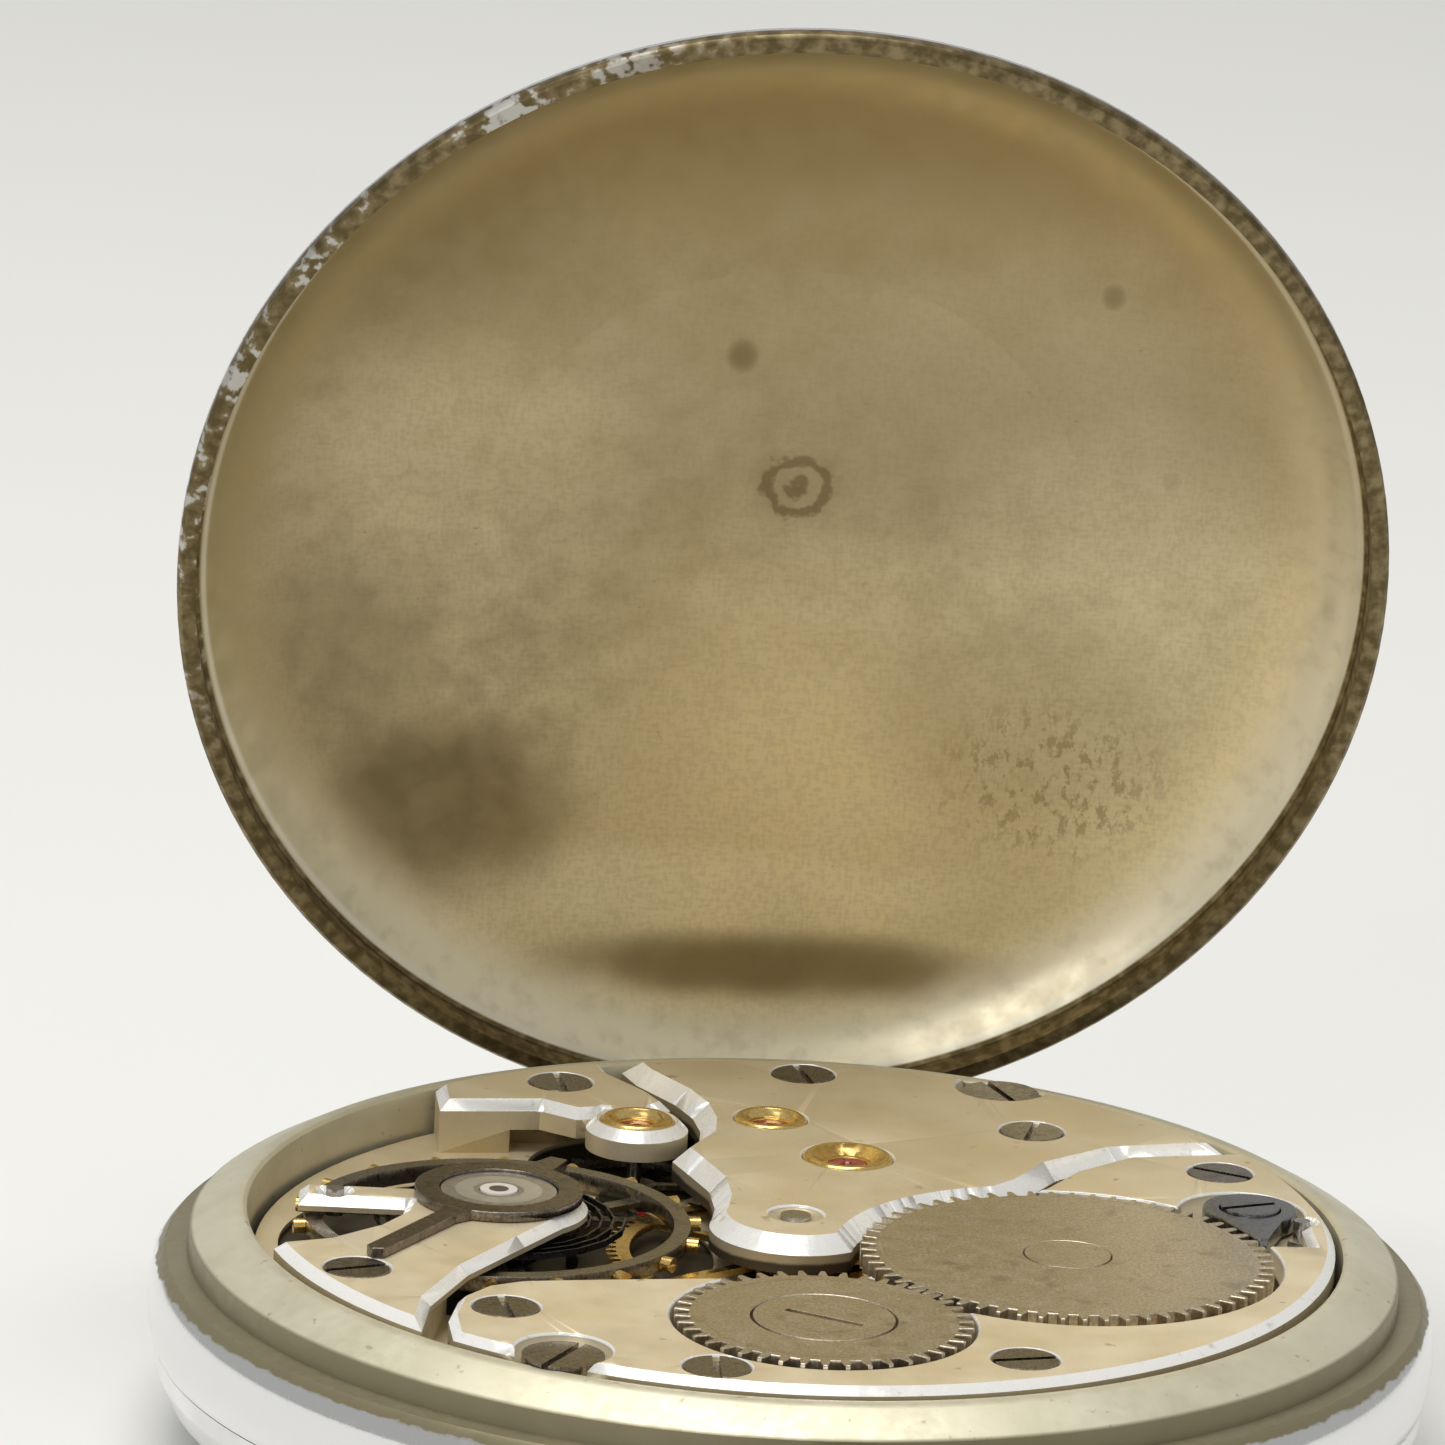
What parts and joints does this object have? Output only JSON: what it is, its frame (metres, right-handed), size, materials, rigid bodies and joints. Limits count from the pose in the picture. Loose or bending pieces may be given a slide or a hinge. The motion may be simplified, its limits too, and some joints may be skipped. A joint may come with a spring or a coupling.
{
  "type": "open face pocket watch",
  "caption": "Open face pocket watch lying dial down with its hinged back cover open on a jewelled lever movement with sub-seconds.",
  "frame": {"origin": "centre of the flat crystal face that the watch rests on, on the movement's centre axis", "axes": "+Z from the dial to the back of the watch, -Y towards the pendant and crown, +Y towards the back cover's hinge"},
  "size_m": [0.0465, 0.064, 0.0502],
  "materials": {
    "case_chrome": "polished nickel-chrome plate",
    "crystal_glass": "clear, flat",
    "cover_metal": "satin with brown patina inside, polished outside",
    "steel": "satin ground",
    "enamel": "white vitreous enamel",
    "blued_steel": "heat blued",
    "brass": "brushed",
    "gold": "polished gilt",
    "gilt_plate": "matte champagne gilt with polished bevels",
    "ruby": "synthetic ruby"
  },
  "bodies": {
    "case": {"case_middle": "case_chrome", "pendant": "case_chrome", "bezel": "case_chrome", "crystal": "crystal_glass", "back_hinge_pin": "steel", "dial": "enamel", "main_plate": "gilt_plate", "barrel_bridge": "gilt_plate", "train_bridge": "gilt_plate", "escape_cock": "gilt_plate", "pallet_cock": "gilt_plate", "balance_cock": "gilt_plate", "crown_wheel_screw": "steel", "click_screw": "blued_steel", "click_spring": "steel", "hairspring_stud": "steel", "balance_end_cap": "steel", "jewel_settings": "gold", "train_jewels": "ruby", "bridge_screws": "steel", "case_screws": "steel"},
    "back_cover": {"back_cover": "cover_metal"},
    "bow": {"bow": "case_chrome"},
    "crown_and_stem": {"crown": "case_chrome", "winding_stem": "steel"},
    "winding_pinion": {"winding_pinion": "steel"},
    "clutch_wheel": {"clutch_wheel": "steel"},
    "setting_lever": {"setting_lever": "steel"},
    "clutch_lever": {"clutch_lever": "steel"},
    "crown_wheel": {"crown_wheel": "steel"},
    "ratchet": {"ratchet_wheel": "steel", "ratchet_screw": "steel", "barrel_arbor": "steel"},
    "click": {"click": "blued_steel"},
    "barrel": {"barrel": "brass", "barrel_cover": "brass", "mainspring": "steel"},
    "center_wheel": {"center_wheel": "gold", "cannon_pinion": "steel", "minute_hand": "blued_steel"},
    "third_wheel": {"third_wheel": "gold"},
    "fourth_wheel": {"fourth_wheel": "gold", "seconds_hand": "blued_steel"},
    "escape_wheel": {"escape_wheel": "steel"},
    "minute_wheel": {"minute_wheel": "brass"},
    "setting_wheel": {"setting_wheel": "steel"},
    "hour_wheel": {"hour_wheel": "brass", "hour_hand": "blued_steel"},
    "pallet_fork": {"pallet_fork": "steel", "pallet_stones": "ruby"},
    "balance": {"balance_wheel": "gold", "balance_screws": "gold", "balance_staff": "steel", "impulse_roller": "steel", "hairspring": "blued_steel"},
    "regulator": {"regulator": "steel"}
  },
  "joints": [
    {"name": "cover_hinge", "type": "hinge", "parent": "case", "child": "back_cover", "pos_m": [0, 0.0216, 0.007], "axis": [-1, 0, 0], "range_deg": [-76.6, 13.4]},
    {"name": "bow_swing", "type": "hinge", "parent": "case", "child": "bow", "pos_m": [0, -0.0249, 0.0059], "axis": [1, 0, 0], "range_deg": [-108.5, 71.5]},
    {"name": "crown_turn", "type": "hinge", "parent": "case", "child": "winding_pinion", "pos_m": [0, -0.0176, 0.0059], "axis": [0, -1, 0], "continuous": true},
    {"name": "crown_pull", "type": "slide", "parent": "winding_pinion", "child": "crown_and_stem", "axis": [0, -1, 0], "range_m": [0, 0.0008]},
    {"name": "clutch_slide", "type": "slide", "parent": "winding_pinion", "child": "clutch_wheel", "axis": [0, 1, 0], "range_m": [0, 0.0008]},
    {"name": "setting_lever_swing", "type": "hinge", "parent": "case", "child": "setting_lever", "pos_m": [0.004, -0.0152, 0.004], "axis": [0, 0, 1], "range_deg": [0, 11.46]},
    {"name": "clutch_lever_swing", "type": "hinge", "parent": "case", "child": "clutch_lever", "pos_m": [-0.0046, -0.0122, 0.004], "axis": [0, 0, 1], "range_deg": [0, 9.94]},
    {"name": "crown_wheel_turn", "type": "hinge", "parent": "case", "child": "crown_wheel", "pos_m": [0, -0.01214, 0.008], "axis": [0, 0, 1], "continuous": true},
    {"name": "ratchet_turn", "type": "hinge", "parent": "case", "child": "ratchet", "pos_m": [0.00941, -0.00431, 0.008], "axis": [0, 0, 1], "continuous": true},
    {"name": "click_swing", "type": "hinge", "parent": "case", "child": "click", "pos_m": [0.01675, 0.00175, 0.008], "axis": [0, 0, 1], "range_deg": [0, 8], "stiffness_Nm_per_rad": 0.000002},
    {"name": "barrel_turn", "type": "hinge", "parent": "case", "child": "barrel", "pos_m": [0.00941, -0.00431, 0.006], "axis": [0, 0, 1], "continuous": true},
    {"name": "center_wheel_turn", "type": "hinge", "parent": "case", "child": "center_wheel", "pos_m": [0, 0, 0.006], "axis": [0, 0, 1], "continuous": true},
    {"name": "third_wheel_turn", "type": "hinge", "parent": "case", "child": "third_wheel", "pos_m": [0.0025, 0.00705, 0.006], "axis": [0, 0, 1], "continuous": true},
    {"name": "fourth_wheel_turn", "type": "hinge", "parent": "case", "child": "fourth_wheel", "pos_m": [0, 0.0116, 0.006], "axis": [0, 0, 1], "continuous": true},
    {"name": "escape_wheel_turn", "type": "hinge", "parent": "case", "child": "escape_wheel", "pos_m": [-0.005, 0.0111, 0.006], "axis": [0, 0, 1], "continuous": true},
    {"name": "minute_wheel_turn", "type": "hinge", "parent": "case", "child": "minute_wheel", "pos_m": [0, -0.00384, 0.004], "axis": [0, 0, 1], "continuous": true},
    {"name": "setting_wheel_turn", "type": "hinge", "parent": "case", "child": "setting_wheel", "pos_m": [0, -0.01008, 0.004], "axis": [0, 0, 1], "continuous": true},
    {"name": "hour_wheel_turn", "type": "hinge", "parent": "case", "child": "hour_wheel", "pos_m": [0, 0, 0.0035], "axis": [0, 0, 1], "continuous": true},
    {"name": "pallet_fork_swing", "type": "hinge", "parent": "case", "child": "pallet_fork", "pos_m": [-0.00753, 0.00667, 0.0064], "axis": [0, 0, 1], "range_deg": [-3.5, 3.5]},
    {"name": "balance_swing", "type": "hinge", "parent": "case", "child": "balance", "pos_m": [-0.0107, 0.0011, 0.007], "axis": [0, 0, 1], "range_deg": [-270, 270], "stiffness_Nm_per_rad": 0.0000017, "deforming": ["hairspring"]},
    {"name": "regulator_swing", "type": "hinge", "parent": "case", "child": "regulator", "pos_m": [-0.0107, 0.0011, 0.0091], "axis": [0, 0, 1], "range_deg": [-12, 12]}
  ],
  "couplings": [
    {"joint": "crown_wheel_turn", "follows": "crown_turn", "ratio": -0.42857},
    {"joint": "ratchet_turn", "follows": "crown_turn", "ratio": 0.3},
    {"joint": "clutch_slide", "follows": "crown_pull", "ratio": 1},
    {"joint": "setting_lever_swing", "follows": "crown_pull", "rad_per_m": 250},
    {"joint": "clutch_lever_swing", "follows": "crown_pull", "rad_per_m": 216.8},
    {"joint": "barrel_turn", "follows": "fourth_wheel_turn", "ratio": -0.0030702},
    {"joint": "third_wheel_turn", "follows": "fourth_wheel_turn", "ratio": -0.13333},
    {"joint": "center_wheel_turn", "follows": "fourth_wheel_turn", "ratio": 0.016667},
    {"joint": "escape_wheel_turn", "follows": "fourth_wheel_turn", "ratio": -10},
    {"joint": "minute_wheel_turn", "follows": "fourth_wheel_turn", "ratio": -0.0055556},
    {"joint": "setting_wheel_turn", "follows": "fourth_wheel_turn", "ratio": 0.0047619},
    {"joint": "hour_wheel_turn", "follows": "fourth_wheel_turn", "ratio": 0.0013889}
  ]
}
